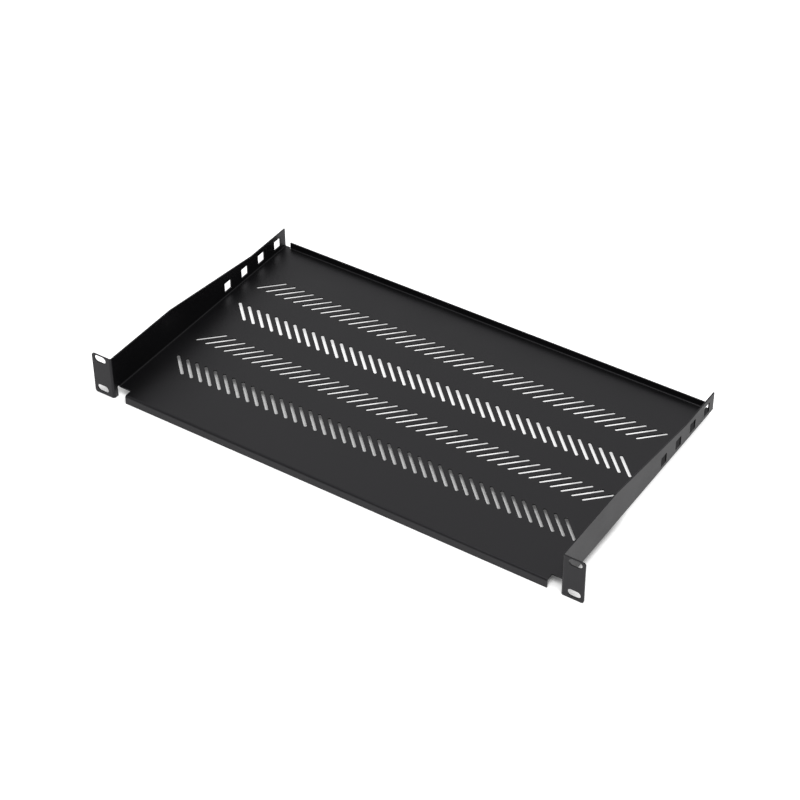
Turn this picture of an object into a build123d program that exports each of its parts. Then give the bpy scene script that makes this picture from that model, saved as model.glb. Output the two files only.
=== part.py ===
from build123d import *
import os

# Rack shelf for a 19-inch rack, one unit high, folded from one steel sheet.
# Millimetres. X runs along the shelf's width, Y from the ears to the rear, Z up.
# The origin is midway across the width and the depth, level with the ears' lower edge.

# Sheet
sheet = 1.2                   # thickness of the steel
bend_radius = 1.0             # inside radius of every fold

# Overall
body_width = 444.0            # across the outer faces of the two walls
panel_height = 42.0           # height of the ears and of the walls' front part
depth = 254.0                 # front face of the ears to the walls' rear ends
base_height = 7.5             # underside of the base above the ears' lower edge

# Ears
ear_reach = 19.3              # from the wall's outer face to the ear's tip
ear_slot_length = 12.0
ear_slot_width = 6.8
ear_slot_inset = 8.75         # slot centres to the ear's tip
ear_slot_rise = 31.75         # between slot centres on one ear
ear_slot_height = 6.1         # lower slot's centre above the ear's lower edge
ear_corner_radius = 2.5

# Side walls
wall_front_run = 83.4         # level stretch of the top edge behind the ears
wall_rear_run = 51.4          # level stretch of the top edge at the rear end
wall_rear_height = 20.0       # top edge above the underside, at the rear end
side_hole_size = 9.5          # square holes near the rear end
side_hole_count = 4
side_hole_pitch = 25.4
side_hole_inset = 12.7        # last hole's centre to the wall's rear end
side_hole_height = 10.0       # hole centres above the underside

# Front lip, folded down between two corner notches
notch_width = 13.5            # from the wall's outer face to the lip's end
notch_depth = 8.0             # from the ears' front face to the base's cut edge
tab_depth = 5.7               # wall below the base, behind the ear's front face

# Rear lip, folded up between two relief slits
rear_lip_height = 7.2         # top edge above the underside
rear_lip_setback = 0.3        # lip's outer face in front of the walls' rear ends
rear_lip_end = 7.7            # from the wall's outer face to the lip's end
relief_width = 1.2            # slit beside each end of the lip

# Vents, slots slanted one way and the other in alternate rows
vent_length = 28.0
vent_width = 2.8
vent_end_sides = 6            # short straight sides that round each end
vent_slant = 45.0             # degrees from the shelf's width
vent_count = 40               # slots in a row
vent_pitch = 10.0             # along a row
vent_rows = 4
vent_row_pitch = 45.4         # between rows
vent_front = 59.9             # ears' front face to the first row

front = -depth / 2
rear = depth / 2
wall_x = body_width / 2
panel_width = body_width + 2 * ear_reach
ear_slot_span = panel_width - 2 * ear_slot_inset
fold_radius = bend_radius + sheet          # outside radius of every fold
base_top = base_height + sheet
fold_top = base_height + fold_radius       # where a wall leaves its fold
cut_edge = front + notch_depth             # front edge of the base beside the lip
lip_face = rear - rear_lip_setback
lip_fold = lip_face - fold_radius          # where the rear lip's fold starts
lip_half = wall_x - rear_lip_end
through = 4 * sheet                        # how far a cutter passes through the sheet


def strip_section(corners):
    """Section of a folded strip: the sheet lies left of a line through its outer corners."""
    outer = FilletPolyline(*corners, radius=fold_radius)
    return make_face(outer.wire().offset_2d(-sheet, side=Side.LEFT))


def across(section_yz, half_width):
    """A section drawn in Y and Z, extruded evenly across the width."""
    return extrude(Plane.YZ * section_yz, amount=half_width, both=True)


def trough():
    """Base with both walls, from the cut edge of the front notches to the rear."""
    corners = [
        (-wall_x, panel_height),
        (-wall_x, base_height),
        (wall_x, base_height),
        (wall_x, panel_height),
    ]
    placed = Plane.XZ.offset(-cut_edge) * strip_section(corners)
    return extrude(placed, amount=cut_edge - rear)


def right_ear():
    """Right ear and the front of the right wall, folded round an upright corner."""
    inner_face = wall_x - sheet
    corners = [(inner_face, cut_edge), (inner_face, front), (panel_width / 2, front)]
    ear = extrude(strip_section(corners), amount=panel_height)
    tips = ear.edges().filter_by(Axis.Y).group_by(Axis.X)[-1]
    return fillet(tips, ear_corner_radius)


def side_outline():
    """Outline of the walls seen from the side, ears and front tabs included."""
    rear_top = base_height + wall_rear_height
    return make_face(Polyline(
        (front, 0),
        (front + tab_depth, 0),
        (front + tab_depth, fold_top),
        (cut_edge, fold_top),
        (cut_edge, base_height),
        (rear, base_height),
        (rear, rear_top),
        (rear - wall_rear_run, rear_top),
        (front + wall_front_run, panel_height),
        (front, panel_height),
        close=True,
    ))


def front_lip():
    """Lip folded down along the front, with the base between the two notches."""
    corners = [(cut_edge, base_top), (front, base_top), (front, 0)]
    return across(strip_section(corners), wall_x - notch_width)


def rear_lip():
    """Lip folded up along the rear."""
    corners = [
        (lip_fold - sheet, base_height),
        (lip_face, base_height),
        (lip_face, base_height + rear_lip_height),
    ]
    return across(strip_section(corners), lip_half)


def rear_cut():
    """Piece of the base that makes way for the rear lip and its relief slits."""
    length = rear - lip_fold
    cutter = Box(2 * (lip_half + relief_width), length, through)
    return Pos(0, lip_fold + length / 2, base_height + sheet / 2) * cutter


def ear_slots():
    """Two level slots through each ear."""
    slot = SlotOverall(ear_slot_length, ear_slot_width)
    places = GridLocations(ear_slot_span, ear_slot_rise, 2, 2)
    middle = Pos(0, ear_slot_height + ear_slot_rise / 2)
    pattern = Sketch() + [middle * place * slot for place in places]
    return extrude(Plane.XZ.offset(-front) * pattern, amount=through, both=True)


def side_holes():
    """Row of square holes through both walls."""
    row_middle = rear - side_hole_inset - (side_hole_count - 1) * side_hole_pitch / 2
    places = GridLocations(side_hole_pitch, 0, side_hole_count, 1)
    row = Sketch() + [place * Rectangle(side_hole_size, side_hole_size) for place in places]
    return across(Pos(row_middle, base_height + side_hole_height) * row, wall_x + sheet)


def vent():
    """One slot, each end rounded by short straight sides."""
    end = RegularPolygon(vent_width / 2, 2 * vent_end_sides, rotation=90)
    reach = (vent_length - vent_width) / 2
    return Rectangle(2 * reach, vent_width) + [Pos(side * reach) * end for side in (-1, 1)]


def vents():
    """Cutters for rows of slanted slots through the base, leaning to alternate sides."""
    cutters = []
    for row in range(vent_rows):
        slant = -vent_slant if row % 2 == 0 else vent_slant
        cutter = extrude(Rot(0, 0, slant) * vent(), amount=through / 2, both=True)
        row_place = Pos(0, front + vent_front + row * vent_row_pitch, base_height + sheet / 2)
        cutters += [row_place * place * cutter for place in GridLocations(vent_pitch, 0, vent_count, 1)]
    return cutters


def shelf():
    """The whole folded sheet, cut and slotted."""
    ear = right_ear()
    folded = trough() + ear + mirror(ear, about=Plane.YZ)
    folded = folded & across(side_outline(), panel_width / 2)
    folded = folded - rear_cut() + rear_lip() + front_lip()
    return folded - ear_slots() - side_holes() - vents()


os.makedirs("parts", exist_ok=True)
export_step(shelf(), "parts/shelf.step")
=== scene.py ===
import math

import bpy
from mathutils import Matrix, Vector

# A rack shelf folded from one steel sheet, with a matte black powder coat.
# Metres, in the shelf's own frame: X along the width, Y from the ears to the rear, Z up.

# Camera
CAMERA_PLACE = Vector((0.8148, -1.2450, 1.2328))
CAMERA_AZIMUTH = 33.553               # degrees round to the right of the front
CAMERA_ELEVATION = 39.442             # degrees above the horizon
CAMERA_ROLL = -0.559                  # degrees about the line of sight
LEVEL_TILT = 90.0                     # degrees from looking straight down to looking level
CAMERA_LENS = 101.9                   # millimetres, like the sensor's width
SENSOR_WIDTH = 36.0
CAMERA_REACH = 100.0                  # how far it sees

# Floor, level with the lower edge of the front lip and the ears
FLOOR_SIZE = 12.0
FLOOR_COLOUR = (0.80, 0.80, 0.80, 1.0)
FLOOR_GLOW = 0.72                     # added where the camera meets the floor
FLOOR_SHEEN = 0.22                    # added where a reflection meets the floor, with painted shade near the shelf
FLOOR_PAINTED_SHADE_REACH = 0.03                  # how near the shelf has to be to dim the floor's glow, a painted shade
FLOOR_PAINTED_SHADE_FADE = (-0.055, -0.015)         # along Y: in front of it painted shade dims the glow under the shelf, behind it the floor there keeps its full glow, a painted light
FLOOR_SAMPLES = 8                     # rays that look for the shelf, for that painted shade

# Light
WHITE = (1.0, 1.0, 1.0, 1.0)
BACKGROUND_LIGHT = 1.0                # what the camera sees of the room
ROOM_LIGHT = 0.24                     # what the room sheds on the shelf and the floor
REFLECTED_LIGHT = 0.28                # what a reflection shows of the room, square to the slope
REFLECTED_SLOPE = Vector((-0.48, 0.26, 0.11))  # more of it toward the left and the rear
REFLECTED_LEAST = 0.30                # a reflection never shows less
SOFTBOX_PLACE = Vector((0.62, -0.62, 2.1))
SOFTBOX_SIZE = 1.2
SOFTBOX_POWER = 42.0                  # watts

# Powder coat
COAT_COLOUR = (0.0004, 0.0004, 0.0006, 1.0)
COAT_LIGHTER = (0.0009, 0.0009, 0.0011, 1.0)  # on top of the grain
COAT_INDEX = 1.5                      # index of refraction
COAT_SHEEN = (0.96, 0.94, 1.0, 1.0)   # tint of its reflections
COAT_ROUGHNESS = (0.37, 0.43)
GRAIN_SIZE = 0.0011                   # one pimple of the orange peel
GRAIN_DETAIL = 2.0                    # finer layers of lumps within it
GRAIN_DEPTH = 0.00002
CLOUD_SIZE = 0.045                    # soft patches in the gloss
CLOUD_DETAIL = 3.0
NOISE_RANGE = (0.3, 0.7)              # where most of a noise's values lie
FULL_RANGE = (0.0, 1.0)
EDGE_RADIUS = 0.0003                  # how far the coat rounds an edge
EDGE_SAMPLES = 6                      # rays that look for an edge


def add_node(tree, kind, **settings):
    """A new node of a material or of the room, with its properties set."""
    node = tree.nodes.new(kind)
    for name, value in settings.items():
        setattr(node, name, value)
    return node


def new_material(name):
    """An empty material and its node tree, with an output."""
    material = bpy.data.materials.new(name)
    material.use_nodes = True
    tree = material.node_tree
    tree.nodes.clear()
    return material, tree, add_node(tree, "ShaderNodeOutputMaterial")


def noise(tree, size, detail):
    """Three-dimensional noise with lumps of about that size."""
    place = add_node(tree, "ShaderNodeTexCoord")
    lumps = add_node(tree, "ShaderNodeTexNoise")
    lumps.inputs["Scale"].default_value = 1 / size
    lumps.inputs["Detail"].default_value = detail
    tree.links.new(place.outputs["Object"], lumps.inputs["Vector"])
    return lumps.outputs["Fac"]


def combine(tree, operation, first, second):
    """Result of a sum on two outputs, or on an output and a number."""
    sum_node = add_node(tree, "ShaderNodeMath", operation=operation)
    tree.links.new(first, sum_node.inputs[0])
    if isinstance(second, float):
        sum_node.inputs[1].default_value = second
    else:
        tree.links.new(second, sum_node.inputs[1])
    return sum_node.outputs[0]


def rescale(tree, value, from_range, to_range):
    """That value, moved from one range to another and held there."""
    moved = add_node(tree, "ShaderNodeMapRange")
    moved.inputs["From Min"].default_value = from_range[0]
    moved.inputs["From Max"].default_value = from_range[1]
    moved.inputs["To Min"].default_value = to_range[0]
    moved.inputs["To Max"].default_value = to_range[1]
    tree.links.new(value, moved.inputs["Value"])
    return moved.outputs["Result"]


def in_sight(tree, rays):
    """One for what the camera sees, straight or through something clear, otherwise zero."""
    straight = rays.outputs["Is Camera Ray"]
    through = rays.outputs["Is Transmission Ray"]
    return combine(tree, "MAXIMUM", straight, through)


def coat_colour(tree, grain):
    """Black, a little lighter on top of the grain."""
    colour = add_node(tree, "ShaderNodeMix", data_type="RGBA")
    colour.inputs["A"].default_value = COAT_COLOUR
    colour.inputs["B"].default_value = COAT_LIGHTER
    tree.links.new(rescale(tree, grain, NOISE_RANGE, FULL_RANGE), colour.inputs["Factor"])
    return colour.outputs["Result"]


def coat_relief(tree, grain):
    """Rounded edges, and the grain over them."""
    edge = add_node(tree, "ShaderNodeBevel", samples=EDGE_SAMPLES)
    edge.inputs["Radius"].default_value = EDGE_RADIUS
    bump = add_node(tree, "ShaderNodeBump")
    bump.inputs["Distance"].default_value = GRAIN_DEPTH
    tree.links.new(grain, bump.inputs["Height"])
    tree.links.new(edge.outputs["Normal"], bump.inputs["Normal"])
    return bump.outputs["Normal"]


def powder_coat():
    """Matte black powder coat with a fine orange peel and softly rounded edges."""
    material, tree, output = new_material("powder_coat")
    shader = add_node(tree, "ShaderNodeBsdfPrincipled")
    shader.inputs["IOR"].default_value = COAT_INDEX
    shader.inputs["Specular Tint"].default_value = COAT_SHEEN
    tree.links.new(shader.outputs["BSDF"], output.inputs["Surface"])

    grain = noise(tree, GRAIN_SIZE, GRAIN_DETAIL)
    clouds = noise(tree, CLOUD_SIZE, CLOUD_DETAIL)
    roughness = rescale(tree, clouds, NOISE_RANGE, COAT_ROUGHNESS)
    tree.links.new(coat_colour(tree, grain), shader.inputs["Base Color"])
    tree.links.new(roughness, shader.inputs["Roughness"])
    tree.links.new(coat_relief(tree, grain), shader.inputs["Normal"])
    return material


def floor_glow_and_painted_shade(tree):
    """Strength of the floor's own light, for the camera and for reflections, with painted shade
    near the shelf and under its front, and a painted light under its rear.
    """
    rays = add_node(tree, "ShaderNodeLightPath")
    # Painted shade: this ambient occlusion dims the floor's glow near the shelf.
    painted_shade_ao = add_node(tree, "ShaderNodeAmbientOcclusion", samples=FLOOR_SAMPLES)
    painted_shade_ao.inputs["Distance"].default_value = FLOOR_PAINTED_SHADE_REACH
    place = add_node(tree, "ShaderNodeTexCoord")
    axes = add_node(tree, "ShaderNodeSeparateXYZ")
    tree.links.new(place.outputs["Object"], axes.inputs["Vector"])

    # Under the shelf's front the glow follows that painted shade; under its rear the floor keeps
    # its full glow, a painted light.
    glow_left_by_painted_shade = rescale(tree, axes.outputs["Y"], FLOOR_PAINTED_SHADE_FADE, FULL_RANGE)
    glow_left_by_painted_shade = combine(tree, "MAXIMUM", glow_left_by_painted_shade, painted_shade_ao.outputs["AO"])
    seen = combine(tree, "MULTIPLY", in_sight(tree, rays), FLOOR_GLOW)
    seen = combine(tree, "MULTIPLY", seen, glow_left_by_painted_shade)
    reflected = combine(tree, "MULTIPLY", rays.outputs["Is Glossy Ray"], FLOOR_SHEEN)
    # The floor seen in reflections gets the same painted shade near the shelf.
    reflected = combine(tree, "MULTIPLY", reflected, painted_shade_ao.outputs["AO"])
    return combine(tree, "MAXIMUM", seen, reflected)


def pale_floor():
    """White floor that keeps the object's shadow, partly real on its paper and partly painted shade
    in its glow, and looks as white as the background.
    """
    material, tree, output = new_material("pale_floor")
    paper = add_node(tree, "ShaderNodeBsdfDiffuse")
    paper.inputs["Color"].default_value = FLOOR_COLOUR
    glow = add_node(tree, "ShaderNodeEmission")
    tree.links.new(floor_glow_and_painted_shade(tree), glow.inputs["Strength"])
    both = add_node(tree, "ShaderNodeAddShader")
    tree.links.new(paper.outputs["BSDF"], both.inputs[0])
    tree.links.new(glow.outputs["Emission"], both.inputs[1])
    tree.links.new(both.outputs["Shader"], output.inputs["Surface"])
    return material


def make_floor():
    """Level floor."""
    half = FLOOR_SIZE / 2
    corners = [(-half, -half, 0.0), (half, -half, 0.0), (half, half, 0.0), (-half, half, 0.0)]
    mesh = bpy.data.meshes.new("floor")
    mesh.from_pydata(corners, [], [(0, 1, 2, 3)])
    mesh.materials.append(pale_floor())
    floor = bpy.data.objects.new("floor", mesh)
    bpy.context.scene.collection.objects.link(floor)


def room_glow(tree):
    """Strength of the room's light: white for the camera, sloped in reflections, even elsewhere."""
    rays = add_node(tree, "ShaderNodeLightPath")
    direction = add_node(tree, "ShaderNodeTexCoord")
    slope = add_node(tree, "ShaderNodeVectorMath", operation="DOT_PRODUCT")
    slope.inputs[1].default_value = REFLECTED_SLOPE
    tree.links.new(direction.outputs["Generated"], slope.inputs[0])

    reflected = combine(tree, "ADD", slope.outputs["Value"], REFLECTED_LIGHT)
    reflected = combine(tree, "MAXIMUM", reflected, REFLECTED_LEAST)
    reflected = combine(tree, "SUBTRACT", reflected, ROOM_LIGHT)
    reflected = combine(tree, "MULTIPLY", reflected, rays.outputs["Is Glossy Ray"])
    seen = combine(tree, "MULTIPLY", in_sight(tree, rays), BACKGROUND_LIGHT - ROOM_LIGHT)
    extra = combine(tree, "ADD", reflected, seen)
    return combine(tree, "ADD", extra, ROOM_LIGHT)


def make_room():
    """White room: the camera's background, a soft light and what the shelf reflects."""
    world = bpy.data.worlds.new("room")
    bpy.context.scene.world = world
    world.use_nodes = True
    tree = world.node_tree
    tree.nodes.clear()
    background = add_node(tree, "ShaderNodeBackground")
    background.inputs["Color"].default_value = WHITE
    tree.links.new(room_glow(tree), background.inputs["Strength"])
    output = add_node(tree, "ShaderNodeOutputWorld")
    tree.links.new(background.outputs["Background"], output.inputs["Surface"])


def make_softbox():
    """Large square lamp high up, to the right and the front, aimed at the shelf's middle."""
    light = bpy.data.lights.new("softbox", "AREA")
    light.size = SOFTBOX_SIZE
    light.energy = SOFTBOX_POWER
    lamp = bpy.data.objects.new("softbox", light)
    lamp.location = SOFTBOX_PLACE
    lamp.rotation_euler = (-SOFTBOX_PLACE).to_track_quat("-Z", "Y").to_euler()
    bpy.context.scene.collection.objects.link(lamp)


def rotation(degrees, axis):
    """Turn about one axis."""
    return Matrix.Rotation(math.radians(degrees), 4, axis)


def make_camera():
    """Camera at the photograph's place and angle."""
    settings = bpy.data.cameras.new("camera")
    settings.sensor_width = SENSOR_WIDTH
    settings.lens = CAMERA_LENS
    settings.clip_end = CAMERA_REACH
    turn = rotation(CAMERA_AZIMUTH, "Z")
    tilt = rotation(LEVEL_TILT - CAMERA_ELEVATION, "X")
    roll = rotation(CAMERA_ROLL, "Z")
    camera = bpy.data.objects.new("camera", settings)
    camera.matrix_world = Matrix.Translation(CAMERA_PLACE) @ turn @ tilt @ roll
    bpy.context.scene.collection.objects.link(camera)
    bpy.context.scene.camera = camera


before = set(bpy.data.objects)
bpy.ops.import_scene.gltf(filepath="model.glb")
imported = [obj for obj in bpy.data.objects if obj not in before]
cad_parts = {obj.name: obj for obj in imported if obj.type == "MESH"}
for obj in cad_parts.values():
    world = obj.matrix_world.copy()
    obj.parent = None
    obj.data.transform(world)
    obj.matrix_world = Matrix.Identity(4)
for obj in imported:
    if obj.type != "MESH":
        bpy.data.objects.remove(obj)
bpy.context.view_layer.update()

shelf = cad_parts["shelf"]
shelf.data.materials.clear()
shelf.data.materials.append(powder_coat())

make_floor()
make_room()
make_softbox()
make_camera()
bpy.context.scene.view_settings.view_transform = "Standard"
